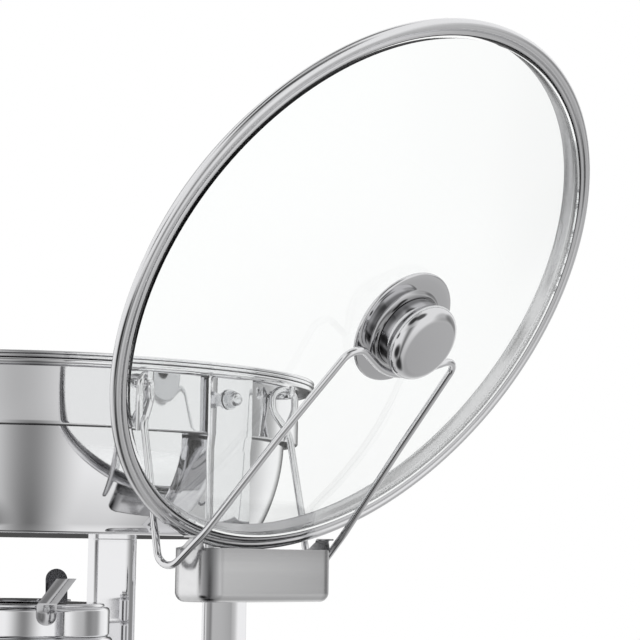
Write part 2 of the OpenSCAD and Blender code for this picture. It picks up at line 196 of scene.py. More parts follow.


# the inside radius: nearer the axis than this the surface is darker, painted shade, on the lid rim also a
# duller finish; the span: heights between which painted shade darkens it
def polishedSteel(name, colour=(0.8, 0.8, 0.81), rough=0.045, centre=(0, 0, 0), turn=(0, 0, 0),
                  rings=1.0, dullAndShadedInside=None, dullAndShadedTone=0.40, paintedShadeSpan=None):
    material, tree, shader = newMaterial(name)
    here = tree.coordinates(centre, turn)
    x, y, z = tree.split(here)
    radius = (x * x + y * y) ** 0.5
    fine, drift = polish["ringScale"], polish["driftScale"]
    lines = tree.noise(tree.join(radius * fine, z * fine, x * drift), 1.0, 3.0)
    smudge = tree.noise(here, polish["smudgeScale"], 4.0, 0.62)
    hair = tree.noise(tree.scaled(here, polish["hairScale"]), 1.0, 2.0)
    height = lines * rings + hair * polish["hairShare"]
    base = tree.tint(smudge, darker(colour, polish["smudgeTone"]), (*colour, 1))
    # painted shade on the inside, and on the lid rim a duller finish too
    if dullAndShadedInside:
        dullAndShadedColour = (dullAndShadedTone, dullAndShadedTone, dullAndShadedTone * 1.02, 1)
        outside = tree.between(radius, dullAndShadedInside - polish["fade"], dullAndShadedInside + polish["fade"])
        base = tree.tint(outside, dullAndShadedColour, base)
    # painted shade: the colour darkens towards the middle of the span of heights
    if paintedShadeSpan:
        middle, reach = (paintedShadeSpan[0] + paintedShadeSpan[1]) / 2, (paintedShadeSpan[1] - paintedShadeSpan[0]) / 2
        beyond = tree.between(abs(z - middle), reach * 0.35, reach)
        base = tree.tint(beyond, polish["darkTone"], base)
    tree.fill(shader, {
        "Base Color": base, "Metallic": 1.0,
        "Roughness": tree.between(smudge, 0.35, 0.75, rough * 0.7, rough * 1.6),
        "Normal": tree.bump(height, polish["strength"], polish["depth"])})
    return material


# satin sheet brushed along one direction
brushing = {
    "strokeScale": 3800.0, "broadScale": 240.0, "strength": 0.10, "depth": 0.00005, "broadTone": 0.92,
    # the sheen settings paint a highlight stripe, the corner tone paints dark reflections
    "sheen": (5 * mm, 17 * mm), "sheenDrift": 6 * mm, "sheenTone": 0.72, "cornerTone": (0.2, 0.2, 0.205, 1),
}


# the sheen height: the height of the brightest stripe, a painted highlight with painted shade above and below
# it; the corner box: middle in x, then half width in x and in y of the box whose corners get painted dark
# reflections
def brushedSteel(name, colour=(0.77, 0.77, 0.775), rough=0.24, along=(1.0, 0.03, 1.0), paintedSheenAt=None,
                 paintedShadeCornerAt=None):
    material, tree, shader = newMaterial(name)
    here = tree.coordinates()
    x, y, z = tree.split(here)
    strokeScale, broadScale = ([brushing[key] * a for a in along] for key in ("strokeScale", "broadScale"))
    strokes = tree.noise(tree.scaled(here, strokeScale), 1.0, 3.0, 0.6)
    broad = tree.noise(tree.scaled(here, broadScale), 1.0, 2.0)
    base = tree.tint(broad, darker(colour, brushing["broadTone"]), (*colour, 1))
    # painted highlight: a brighter stripe at one height, darker away from it
    if paintedSheenAt:
        away = abs(z - paintedSheenAt) + (broad - 0.5) * brushing["sheenDrift"]
        side = [brushing["sheenTone"] * level for level in colour]
        base = tree.tint(tree.between(away, *brushing["sheen"]), base, (*side, 1))
    # painted dark reflection: the rounded corners of the box are darkened
    if paintedShadeCornerAt:
        middle, halfX, halfY = paintedShadeCornerAt
        corner = (tree.between(abs(x - middle), halfX - 2 * mm, halfX + 4 * mm)
                  * tree.between(abs(y), halfY - 4 * mm, halfY + 4 * mm))
        base = tree.tint(corner, base, brushing["cornerTone"])
    tree.fill(shader, {
        "Base Color": base, "Metallic": 1.0,
        "Roughness": tree.between(strokes, 0.3, 0.7, rough * 0.8, rough * 1.25),
        "Normal": tree.bump(strokes, brushing["strength"], brushing["depth"])})
    return material


def clearGlass(name):
    material, tree, shader = newMaterial(name)
    here = tree.coordinates(lidPlace["centre"], lidTurn)
    film = tree.noise(here, 9.0, 3.0)
    tree.fill(shader, {
        "Base Color": (0.985, 0.995, 0.99, 1), "IOR": 1.47, "Transmission Weight": 1.0,
        "Roughness": tree.between(film, 0.4, 0.8, 0.0, 0.012)})
    return material


def zincFastener(name):
    material, tree, shader = newMaterial(name)
    here = tree.coordinates()
    cloud = tree.noise(here, 420.0, 3.0)
    tree.fill(shader, {
        "Base Color": tree.tint(cloud, (0.62, 0.63, 0.65, 1), (0.78, 0.78, 0.79, 1)), "Metallic": 1.0,
        "Roughness": tree.between(cloud, 0.3, 0.7, 0.14, 0.28), "Normal": tree.bump(cloud, 0.08, 0.00006)})
    return material


def darkSilicone(name):
    material, tree, shader = newMaterial(name)
    here = tree.coordinates()
    grain = tree.noise(here, 1500.0, 3.0)
    dust = tree.noise(here, 60.0, 4.0)
    tree.fill(shader, {
        "Base Color": tree.tint(dust, (0.022, 0.022, 0.024, 1), (0.05, 0.05, 0.052, 1)),
        "Roughness": tree.between(grain, 0.3, 0.7, 0.5, 0.7), "Normal": tree.bump(grain, 0.2, 0.0001)})
    return material


steelUpright = polishedSteel("polishedSteel")
steelLid = polishedSteel("polishedLidSteel", centre=lidPlace["centre"], turn=lidTurn)
# the knob's cove between flange and barrel gets painted shade
steelKnob = polishedSteel("polishedKnob", colour=(0.66, 0.66, 0.67), centre=lidPlace["centre"], turn=lidTurn,
                          rings=0.5, paintedShadeSpan=(28.0 * mm, 36.5 * mm))
# the band's inner side and hem are painted nearly black: painted shade in the gap between band and pan
steelBand = polishedSteel("polishedBand", dullAndShadedInside=161.95 * mm, dullAndShadedTone=0.07)
steelStrip = polishedSteel("polishedStrip", rings=0.3)
wireChrome = polishedSteel("chromedWire", colour=(0.72, 0.72, 0.73), rough=0.03, rings=0.25)
# the lid rim's inner skirt is darker: partly a duller unpolished inside, partly painted shade
rimSatin = polishedSteel("satinLidRim", colour=(0.72, 0.72, 0.73), rough=0.17, centre=lidPlace["centre"],
                         turn=lidTurn, rings=0.9, dullAndShadedInside=148.6 * mm, dullAndShadedTone=0.47)
coverSteel = polishedSteel("spunCover", rough=0.11, rings=1.6)
# the damper disc is dark all over
darkSteel = polishedSteel("darkToneSteel", colour=(0.20, 0.20, 0.21), rough=0.12, rings=0.4)
# the tray's colour carries a painted highlight stripe and painted dark reflections at its corners
traySatin = brushedSteel("satinTray", rough=0.2, paintedSheenAt=98 * mm,
                         paintedShadeCornerAt=(192.4 * mm, 7.5 * mm, 40.8 * mm))
shelfSatin = brushedSteel("satinShelf", along=(0.06, 0.06, 1.0))
clipSatin = brushedSteel("satinClip", colour=(0.5, 0.5, 0.51), rough=0.12, along=(0.4, 0.4, 1.0))
lidClear = clearGlass("clearGlass")
zinc = zincFastener("zincFastener")
silicone = darkSilicone("darkSilicone")

finishes = {
    "frame_band": steelUpright, "front_leg": steelStrip, "left_leg": steelStrip, "right_leg": steelStrip,
    "leg_bolts": zinc, "leg_washers": zinc, "leg_nuts": zinc, "foot_glides": silicone,
    "holder_hooks": wireChrome,
    "fuel_shelf": shelfSatin, "front_arm": shelfSatin, "left_arm": shelfSatin, "right_arm": shelfSatin,
    "shelf_rivets": zinc, "arm_screws": zinc, "water_pan": steelUpright, "food_pan": steelUpright,
    "holder_wire": wireChrome, "drip_tray": traySatin, "lid_rim": steelLid, "lid_glass": lidClear,
    "knob_flange": steelLid, "knob_body": steelLid, "knob_washer": silicone, "knob_screw": zinc,
    "fuel_cup": steelUpright, "burner_cover": steelUpright, "cover_clip": clipSatin,
    "damper_disc": darkSteel, "damper_rivet": zinc,
}
for nodeName, node in nodes.items():
    for place in node.material_slots:
        place.material = finishes[nodeName]
print("finishes made and given to", len(finishes), "nodes")


# modelling helpers
def clearSelection():
    if bpy.context.object and bpy.context.object.mode != "OBJECT":
        bpy.ops.object.mode_set(mode="OBJECT")
    bpy.ops.object.select_all(action="DESELECT")


def makeActive(piece):
    clearSelection()
    piece.select_set(True)
    bpy.context.view_layer.objects.active = piece


def settle(piece, name, material):
    makeActive(piece)
    bpy.ops.object.transform_apply(location=True, rotation=True, scale=True)
    piece.name = name
    piece.data.name = name
    piece.data.materials.clear()
    piece.data.materials.append(material)
    return piece


# points on the arc that rounds the corner at b between a and c
def roundedCorner(a, b, c, radius, steps):
    u, v = (a - b).normalized(), (c - b).normalized()
    half = u.angle(v) / 2
    reach = radius / math.tan(half)
    middle = b + (u + v).normalized() * radius / math.sin(half)
    p, q, sweep = b + u * reach - middle, b + v * reach - middle, math.pi - 2 * half
    return [middle + (p * math.sin(sweep * (1 - i / steps)) + q * math.sin(sweep * i / steps))
            / math.sin(sweep) for i in range(steps + 1)]


def roundedPath(points, radii, steps=10):
    path = [points[0]]
    for i, radius in enumerate(radii):
        path += roundedCorner(points[i], points[i + 1], points[i + 2], radius, steps)
    return path + [points[-1]]


# a bent round wire, drawn as a poly curve point after point and then made a mesh
def bentWire(path, diameter, name, material):
    clearSelection()
    bpy.ops.curve.primitive_nurbs_path_add(location=(0, 0, 0))
    piece = bpy.context.object
    piece.data.splines.clear()
    spline = piece.data.splines.new("POLY")
    spline.points.add(len(path) - 1)
    for point, place in zip(spline.points, path):
        point.co = (*(place * mm), 1)
    piece.data.bevel_depth = diameter / 2 * mm
    piece.data.bevel_resolution = 7
    piece.data.use_fill_caps = True
    piece.data.twist_mode = "MINIMUM"
    makeActive(piece)
    bpy.ops.object.convert(target="MESH")
    bpy.ops.object.shade_smooth_by_angle(angle=math.radians(50))
    return settle(piece, name, material)


# in edit mode, with only the edges or faces selected that pass the test
def selectOnly(piece, kind, test):
    bpy.ops.object.mode_set(mode="EDIT")
    bpy.ops.mesh.select_mode(type=kind)
    bpy.ops.mesh.select_all(action="DESELECT")
    bpy.ops.object.mode_set(mode="OBJECT")
    for part in piece.data.edges if kind == "EDGE" else piece.data.polygons:
        part.select = test(part)
    bpy.ops.object.mode_set(mode="EDIT")


# points on an arc in a profile, whose points are (radius, height)
def arcOf(x, z, radius, start, end, steps):
    angles = [math.radians(start + (end - start) * i / steps) for i in range(steps + 1)]
    return [(x + radius * math.cos(a), z + radius * math.sin(a)) for a in angles]


# an open row of joined vertices through the given points
def openRow(points):
    clearSelection()
    bpy.ops.mesh.primitive_circle_add(vertices=len(points), radius=1, fill_type="NOTHING", location=(0, 0, 0))
    piece = bpy.context.object
    selectOnly(piece, "EDGE", lambda edge: set(edge.vertices) == {0, len(points) - 1})
    bpy.ops.mesh.delete(type="EDGE")
    bpy.ops.object.mode_set(mode="OBJECT")
    for vertex, place in zip(piece.data.vertices, points):
        vertex.co = Vector(place) * mm
    return piece


def useModifier(piece, kind, **settings):
    modifier = piece.modifiers.new(kind.lower(), kind)
    for name, setting in settings.items():
        setattr(modifier, name, setting)
    bpy.ops.object.modifier_apply(modifier=modifier.name)


# sharp edges of sheet or a turned part broken, then shaded smooth with flat faces kept flat
def finishSurface(piece, edge=0.0):
    makeActive(piece)
    if edge:
        useModifier(piece, "BEVEL", width=edge * mm, segments=3, limit_method="ANGLE",
                    angle_limit=math.radians(50))
    bpy.ops.object.shade_smooth_by_angle(angle=math.radians(35))
    useModifier(piece, "WEIGHTED_NORMAL", keep_sharp=True)


def cleanNormals():
    bpy.ops.mesh.select_all(action="SELECT")
    bpy.ops.mesh.remove_doubles(threshold=0.00001)
    bpy.ops.mesh.normals_make_consistent(inside=False)
    bpy.ops.object.mode_set(mode="OBJECT")


# a turned part: the profile spun round z, and given a sheet's thickness unless it is solid
def spunPart(profile, sheet, steps):
    piece = openRow([(r, 0, z) for r, z in profile])
    bpy.ops.object.mode_set(mode="EDIT")
    bpy.ops.mesh.select_all(action="SELECT")
    bpy.ops.mesh.spin(steps=steps, angle=2 * math.pi, center=(0, 0, 0), axis=(0, 0, 1))
    cleanNormals()
    if sheet:
        useModifier(piece, "SOLIDIFY", thickness=sheet * mm, offset=0, use_even_offset=True)
    finishSurface(piece)
    return piece


def giveBody(piece, name, material, body, replaced=None):
    settle(piece, name, material)
    if replaced:
        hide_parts(replaced)
    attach(piece, body)
    return piece


# the lid holder: one wire from eye to eye
holder = {
    "wire": 4, "rim": 215, "eye": (161, 53.2, 205.2), "eyeHalf": 6.9, "eyeTurn": 22, "eyeLength": 25.7,
    "strand": 12, "tail": (158.4, 55), "tailDrop": 3, "start": (163.2, 56), "foot": (180.7, 57.3, 118.2),
    "rise": (209.1, 52.8, 93.1), "arm": (254.2, 47.2, 46.3), "radii": [12, 6.4, 6.4, 12, 14, 8.5, 80, 200],
    "shoulder": (41, -7.2, 1.5), "shoulderRadius": 8, "low": -26.5, "lowRadius": 42, "neckAt": 36.5,
}


# a point of the cradle: y, then s up the face of the lid and t out along its axis
def cradlePoint(y, s, t=0.0):
    lean = math.radians(lidPlace["lean"])
    cos, sin = math.cos(lean), math.sin(lean)
    cx, cz = lidPlace["centre"][0] / mm, lidPlace["centre"][2] / mm
    t += holder["neckAt"]
    return Vector((cx + t * cos + s * sin, y, cz - t * sin + s * cos))


def holderPath(plan):
    turn = math.radians(plan["eyeTurn"])
    ex, ey, ez = plan["eye"]
    sideY, sideS, sideT = plan["shoulder"]
    down = Vector((0, 0, -plan["strand"]))
    bottom = ez - plan["eyeLength"]
    halves = []
    for m in (1, -1):
        w = plan["eyeHalf"] * Vector((-math.sin(turn), -m * math.cos(turn), 0))
        o = Vector((ex, m * ey, ez))
        tail, start = (Vector((plan[key][0], m * plan[key][1], bottom)) for key in ("tail", "start"))
        tail.z -= plan["tailDrop"]
        points = [tail, o - w + down, o - w, o + w, o + w + down, start]
        lower = (plan[key] for key in ("foot", "rise", "arm"))
        points += [Vector((x, m * y, plan["rim"] - z)) for x, y, z in lower]
        points.append(cradlePoint(m * sideY, sideS, sideT))
        halves.append(roundedPath(points, plan["radii"])[:-1])
    right, left = halves
    first, last = cradlePoint(sideY, sideS, sideT), cradlePoint(-sideY, sideS, sideT)
    low = cradlePoint(0, plan["low"])
    return (right + roundedCorner(right[-1], first, low, plan["shoulderRadius"], 12)
            + roundedCorner(first, low, last, plan["lowRadius"], 16)
            + roundedCorner(low, last, left[-1], plan["shoulderRadius"], 12) + left[::-1])


holderWire = bentWire(holderPath(holder), holder["wire"], "holderWire", wireChrome)
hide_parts("holder_wire")
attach(holderWire, "holder")
print("lid holder bent")


# drip tray: a drawn box with rounded corners and an ear on each end
tray = {
    "length": 97.6, "width": 31, "height": 28, "start": 176.9, "top": 113.5, "sheet": 0.9, "corner": 10,
    "foot": 5.0, "lip": 0.25, "earStart": 192.8, "earWidth": 9.2, "earHeight": 6.2, "earReach": 4.3,
    "earFlank": ((-9, 0), (-5, 0.6), (-1.6, 3.4)), "flankRadii": [5, 4], "earBend": 1.4,
}


def drawnTray(plan):
    clearSelection()
    middle = Vector((plan["start"] + plan["width"] / 2, 0, plan["top"] - plan["height"] / 2)) * mm
    bpy.ops.mesh.primitive_cube_add(size=1, location=middle)
    piece = bpy.context.object
    piece.scale = (plan["width"] * mm, plan["length"] * mm, plan["height"] * mm)
    bpy.ops.object.transform_apply(location=True, rotation=True, scale=True)
    bottom = (plan["top"] - plan["height"]) * mm

    def heights(edge):
        return [piece.data.vertices[i].co.z for i in edge.vertices]

    selectOnly(piece, "EDGE", lambda edge: max(heights(edge)) - min(heights(edge)) > 1 * mm)
    bpy.ops.mesh.bevel(offset=plan["corner"] * mm, segments=14, affect="EDGES")
    selectOnly(piece, "EDGE", lambda edge: max(heights(edge)) < bottom + 0.01 * mm)
    bpy.ops.mesh.bevel(offset=plan["foot"] * mm, segments=10, affect="EDGES")
    selectOnly(piece, "FACE", lambda face: face.normal.z > 0.9)
    bpy.ops.mesh.delete(type="FACE")
    bpy.ops.object.mode_set(mode="OBJECT")
    useModifier(piece, "SOLIDIFY", thickness=plan["sheet"] * mm, offset=-1)
    useModifier(piece, "BEVEL", width=plan["lip"] * mm, segments=3, limit_method="ANGLE",
                angle_limit=math.radians(60))
    bpy.ops.object.shade_smooth_by_angle(angle=math.radians(35))
    return piece


dripTray = settle(drawnTray(tray), "dripTray", traySatin)
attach(dripTray, "tray")
print("tray drawn")


# the whole active mesh pulled along a vector in metres
def pullOut(along):
    bpy.ops.object.mode_set(mode="EDIT")
    bpy.ops.mesh.select_all(action="SELECT")
    bpy.ops.mesh.extrude_region_move(TRANSFORM_OT_translate={"value": along})
    bpy.ops.object.mode_set(mode="OBJECT")


def agreeNormals():
    bpy.ops.object.mode_set(mode="EDIT")
    bpy.ops.mesh.select_all(action="SELECT")
    bpy.ops.mesh.normals_make_consistent(inside=False)
    bpy.ops.object.mode_set(mode="OBJECT")


# ear: the outline of the tongue as a face, thickened, and a strip folded out from its top
def trayEar(plan, side):
    wallY = plan["length"] / 2 - plan["sheet"]
    brim, bend = plan["top"], plan["earBend"]
    top = brim + plan["earHeight"] - plan["sheet"] / 2
    x0, x1 = plan["earStart"], plan["earStart"] + plan["earWidth"]
    flank = roundedPath([Vector((x0 + x, 0, brim + z)) for x, z in plan["earFlank"]]
                        + [Vector((x0, 0, top - bend))], plan["flankRadii"], 8)
    outline = ([Vector((x1 + 2, 0, brim - 1)), Vector((flank[0].x, 0, brim - 1))] + flank
               + [Vector((x1, 0, top - bend)), Vector((x1 + 0.6, 0, brim + 1.5))])
    clearSelection()
    bpy.ops.mesh.primitive_circle_add(vertices=len(outline), radius=1, fill_type="NGON", location=(0, 0, 0))
    piece = bpy.context.object
    for vertex, place in zip(piece.data.vertices, outline):
        vertex.co = Vector((place.x, side * wallY, place.z)) * mm
    pullOut((0, side * plan["sheet"] * mm, 0))
    agreeNormals()
    foldY = wallY + plan["sheet"] / 2
    fold = roundedPath([Vector((0, foldY, brim + 2)), Vector((0, foldY, top)),
                        Vector((0, foldY + plan["earReach"], top))], [bend], 8)
    strip = openRow([(x0, side * place.y, place.z) for place in fold])
    pullOut((plan["earWidth"] * mm, 0, 0))
    useModifier(strip, "SOLIDIFY", thickness=plan["sheet"] * mm, offset=0)
    agreeNormals()
    strip.select_set(True)
    piece.select_set(True)
    bpy.context.view_layer.objects.active = piece
    bpy.ops.object.join()
    bpy.ops.object.shade_smooth_by_angle(angle=math.radians(35))
    return piece


for earName, side in (("earLeft", -1), ("earRight", 1)):
    ear = settle(trayEar(tray, side), earName, traySatin)
    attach(ear, "tray")
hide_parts("drip_tray")
print("ears folded")


# stand band, water pan and food pan, each with its rolled rim
rims = {
    "outer": 172, "band": 162.5, "bandSheet": 0.9, "bandLow": 177.2, "bandHem": 0.75, "panSheet": 0.8,
    "lip": 1.7, "gap": 0.2, "curl": 0.95, "shoulder": 2,
    "waterDepth": 94.8, "waterFoot": 135.3, "waterCorner": 3, "waterArc": (44.1, 34.8, 109.6),
    "waterWall": 158.7, "foodDepth": 65, "foodFoot": 134, "foodCorner": 10, "foodWall": 150.6,
}


def rolledHem(plan, top):
    radius = (plan["lip"] - plan["panSheet"]) / 2
    return arcOf(plan["outer"] - 0.9, top - plan["lip"] / 2, radius, 90, -90, 8)


# the bend from the wall out to the rim, ahead of the rolled hem
def rimShoulder(plan, x, top, steps):
    return arcOf(x, top - plan["shoulder"], plan["shoulder"], 180, 90, steps)


def bandProfile(plan):
    top = holder["rim"] - 2 * (plan["lip"] + plan["gap"]) - plan["bandSheet"] / 2
    inner = plan["band"] - plan["bandSheet"] / 2
    low, hem, curl = plan["bandLow"], plan["bandHem"], plan["curl"]
    return (arcOf(inner - hem, low + 0.8, hem, -200, 0, 12) + [(inner, low + 2)]
            + rimShoulder(plan, inner + plan["shoulder"], top, 8)
            + arcOf(plan["outer"] - 0.85 - curl, top - curl, curl, 90, -170, 18))


def waterPanProfile(plan):
    bottom = holder["rim"] - plan["waterDepth"] + plan["panSheet"] / 2
    cx, depth, radius = plan["waterArc"]
    cz = holder["rim"] - depth
    top = holder["rim"] - plan["lip"] - plan["gap"]
    corner, wall = plan["waterCorner"], plan["waterWall"]
    step = roundedPath([Vector((cx + radius, 0, cz + 1)), Vector((cx + radius, 0, cz + 4)),
                        Vector((wall, 0, cz + 10)), Vector((wall, 0, top - 4))], [6, 6], 6)
    return ([(0.001, bottom), (60, bottom), (128, bottom)]
            + arcOf(plan["waterFoot"], bottom + corner, corner, -90, -34, 7)
            + arcOf(cx, cz, radius, -31, -1, 24) + [(p.x, p.z) for p in step]
            + rimShoulder(plan, wall + plan["shoulder"], top - plan["panSheet"] / 2, 6)
            + rolledHem(plan, top))


def foodPanProfile(plan):
    top, corner, wall = holder["rim"], plan["foodCorner"], plan["foodWall"]
    bottom = top - plan["foodDepth"] + plan["panSheet"] / 2
    return ([(0.001, bottom), (60, bottom), (126, bottom)]
            + arcOf(plan["foodFoot"], bottom + corner, corner, -90, -8, 12) + [(wall, top - 4)]
            + rimShoulder(plan, wall + 2.2, top - plan["panSheet"] / 2, 6) + rolledHem(plan, top))


giveBody(spunPart(bandProfile(rims), rims["bandSheet"], 200),
         "standBand", steelBand, "stand", "frame_band")
giveBody(spunPart(waterPanProfile(rims), rims["panSheet"], 200),
         "waterPan", steelUpright, "water_pan", "water_pan")
giveBody(spunPart(foodPanProfile(rims), rims["panSheet"], 200),
         "foodPan", steelUpright, "food_pan", "food_pan")
print("band and pans spun")


# legs: strips curved to the band with flared sides, stepped in below the band, toes turned in
leg = {
    "width": 34, "sheet": 1.3, "edge": 0.25, "radius": 163.5, "top": 208.5, "step": 1, "stepFrom": 1.2,
    "stepTo": 9, "toe": 16, "sole": 4, "radii": [6, 6, 5], "flat": 7, "flare": 3.0,
    "angles": {"front": 2.2, "left": 240, "right": 120},
}


def legPath(plan):
    r, low, sole = plan["radius"], rims["bandLow"], plan["sole"]
    inner = r - plan["step"]
    corners = [(r, plan["top"]), (r, low - plan["stepFrom"]), (inner, low - plan["stepTo"]), (inner, sole),
               (inner - plan["toe"], sole)]
    path = roundedPath([Vector((x, 0, z)) for x, z in corners], plan["radii"], 8)
    return [path[0], path[0] + Vector((0, 0, -1.5))] + path[1:]


# half a leg's section is flat and then lifts away from the band; the other half mirrors it
def legSection(plan):
    half, flat, rise = plan["width"] / 2, plan["flat"], plan["flare"]
    side = [(flat + (half - flat) * i / 12, rise * (i / 12) ** 2) for i in range(13)]
    return [(-t, lift) for t, lift in side[::-1]] + [(0, 0)] + side


def normalsAlong(path):
    sides = []
    for i in range(len(path)):
        ahead = (path[min(i + 1, len(path) - 1)] - path[max(i - 1, 0)]).normalized()
        sides.append(Vector((-ahead.z, 0, ahead.x)))
    return sides


# a formed strip: a grid whose rows follow the path and whose columns follow the section
def formedStrip(path, place, columns, sheet, edge):
    clearSelection()
    bpy.ops.mesh.primitive_grid_add(x_subdivisions=columns - 1, y_subdivisions=len(path) - 1, size=2)
    piece = bpy.context.object
    for index, vertex in enumerate(piece.data.vertices):
        vertex.co = place(index // columns, index % columns) * mm
    makeActive(piece)
    bpy.ops.object.mode_set(mode="EDIT")
    cleanNormals()
    useModifier(piece, "SOLIDIFY", thickness=sheet * mm, offset=0, use_even_offset=True)
    finishSurface(piece, edge)
    return piece


def standLeg(plan, name, angle):
    path, section = legPath(plan), legSection(plan)
    sides = normalsAlong(path)

    def place(row, column):
        across, rise = section[column]
        point = path[row] + sides[row] * rise
        turn = math.radians(angle) + across / plan["radius"]
        return Vector((point.x * math.cos(turn), point.x * math.sin(turn), point.z))

    giveBody(formedStrip(path, place, len(section), plan["sheet"], plan["edge"]),
             name + "Leg", steelStrip, "stand", name + "_leg")


for legName, legAngle in leg["angles"].items():
    standLeg(leg, legName, legAngle)
print("legs formed")


# lid: rim, dome and knob, all turned about the lid's axis and then parked
lid = {
    "outer": 156.0, "skirt": 147.9, "skirtFoot": 146.2, "skirtDepth": 14, "bead": 2.5, "shoulder": 1.6,
    "swage": ((4.6, 0), (5.4, 0), (6.0, 0.4), (6.8, 0.7), (7.6, 0.4), (8.2, 0)), "sheet": 0.8, "dome": 25,
    "glass": 4, "flange": 31.4, "flangeEdge": 1.3, "neck": 19.3, "knob": 21, "flangeFoot": 26.6,
    "flangeTop": 28.6, "cove": 3.4, "flare": 38.2, "end": 48.7, "fillet": 6.6, "crown": 0.6,
}


# a rolled bead, a groove, then a skirt that narrows a little and carries a swage
def lidRimProfile(plan):
    roll, edge, skirt, depth = plan["bead"], plan["outer"] - 0.4, plan["skirt"], plan["skirtDepth"]
    bend, groove = plan["shoulder"], edge - 2 * roll
    lean = (skirt - plan["skirtFoot"]) / depth
    swage = [(skirt - lean * z - lift, -z) for z, lift in plan["swage"]]
    low = [(skirt - lean * z, -z) for z in (8.8, 10.5, depth - 1.5)]
    return (arcOf(edge - roll, -roll - 0.2, roll, -165, 122, 22)
            + [(groove + 0.2, -1.5), (groove - 0.3, -0.75), (groove - 0.9, -0.6)]
            + arcOf(skirt + bend, -bend - 0.6, bend, 90, 176, 8) + swage + low
            + [(plan["skirtFoot"] - 0.5, -depth)])


def lidGlassProfile(plan):
    edge, dome, glass = plan["skirt"] - 1.25, plan["dome"], plan["glass"]
    radius = (edge * edge + dome ** 2) / 2 / dome
    spread = math.degrees(math.asin(edge / radius))
    outside = arcOf(0, dome - radius, radius, 90, 90 - spread, 24)
    inside = arcOf(0, dome - radius - glass * 0.2, radius - glass * 0.8, 90 - spread, 90, 24)
    return [(0.001, outside[0][1])] + outside[1:] + inside[:-1] + [(0.001, inside[-1][1])]


def flangeProfile(plan):
    foot, top, r, cove = plan["flangeFoot"] - 1.5, plan["flangeTop"], plan["flange"], plan["cove"]
    seat, edge = plan["neck"] + 0.3, plan["flangeEdge"]
    end = top + cove - 0.4
    return ([(0.001, foot), (r - 8, foot)] + arcOf(r - edge, top - edge - 0.4, edge, -90, 70, 14)
            + [(r - 3.6, top - 0.16)] + arcOf(seat + cove, top + cove, cove, 268, 190, 16)
            + [(seat - 1.6, end), (0.001, end)])


# a straight neck, a flare out to the knob, a round fillet and a slightly crowned end
def knobProfile(plan):
    knob, neck, flare, end, fillet = (plan[key] for key in ("knob", "neck", "flare", "end", "fillet"))
    foot, flat, crown = plan["flangeTop"] + plan["cove"] - 0.35, knob - fillet, plan["crown"]
    side = [(neck + (knob - neck) * (1 - math.cos(math.pi * i / 12)) / 2,
             flare + (end - fillet - flare) * i / 12) for i in range(12)]
    face = [(flat * (1 - i / 6), end + crown * (1 - (1 - i / 6) ** 2)) for i in range(1, 6)]
    return ([(0.001, foot), (neck - 0.15, foot), (neck, foot + 0.4)] + side
            + arcOf(flat, end - fillet, fillet, 0, 90, 22) + face + [(0.001, end + crown)])


def turnedOnLid(profile, sheet, name, material, replaced, steps):
    piece = spunPart(profile, sheet, steps)
    piece.rotation_euler = lidTurn
    piece.location = lidPlace["centre"]
    return giveBody(piece, name, material, "lid", replaced)


turnedOnLid(lidRimProfile(lid), lid["sheet"], "lidRim", rimSatin, "lid_rim", 240)
turnedOnLid(lidGlassProfile(lid), 0, "lidGlass", lidClear, "lid_glass", 200)
turnedOnLid(flangeProfile(lid), 0, "knobFlange", steelKnob, "knob_flange", 256)
turnedOnLid(knobProfile(lid), 0, "knobBody", steelKnob, "knob_body", 256)
print("lid turned")


# burner: cup and cover spun, the clip formed from one strip
burner = {
    "cup": 53.5, "cupSheet": 0.9, "cupFoot": 25.3, "cupHeight": 36, "cupCorner": 4.5, "cupShoulder": 3,
    "cover": 51.4, "coverTop": 80.3, "throat": 5.4, "flame": 26, "sheet": 0.8, "clipAt": -24.5,
    "clipWidth": 12, "clipLow": 11.9, "clipEnd": (3.7, 15), "clipSheet": 0.7, "clipEdge": 0.22,
    "boss": 1.5, "bossDrop": 6.3, "ridge": 2.6, "slide": 10.9,
}


def cupProfile(plan):
    outer, foot = plan["cup"] - plan["cupSheet"] / 2, plan["cupFoot"] + plan["cupSheet"] / 2
    top, corner, shoulder = plan["cupFoot"] + plan["cupHeight"], plan["cupCorner"], plan["cupShoulder"]
    return ([(0.001, foot), (40, foot)] + arcOf(outer - corner, foot + corner, corner, -90, 0, 8)
            + arcOf(outer - shoulder, top - shoulder - 0.6, shoulder, 0, 80, 8)
            + [(plan["cup"] - 4.2, top - 0.6)])


def coverProfile(plan):
    low, top, r = plan["cupFoot"] + plan["cupHeight"], plan["coverTop"], plan["cover"]
    throat = plan["cup"] - plan["throat"]
    return ([(throat, low - 6), (throat, low + 0.1), (r - 1, low + 0.4), (r - 0.4, low + 1.2)]
            + arcOf(r - 2.8, top - 4.4, 2.4, 0, 60, 6) + arcOf(r - 4.6, top - 1.2, 1, -30, 90, 8)
            + arcOf(plan["flame"] + 1, top - 1.4, 1, 90, 180, 5))


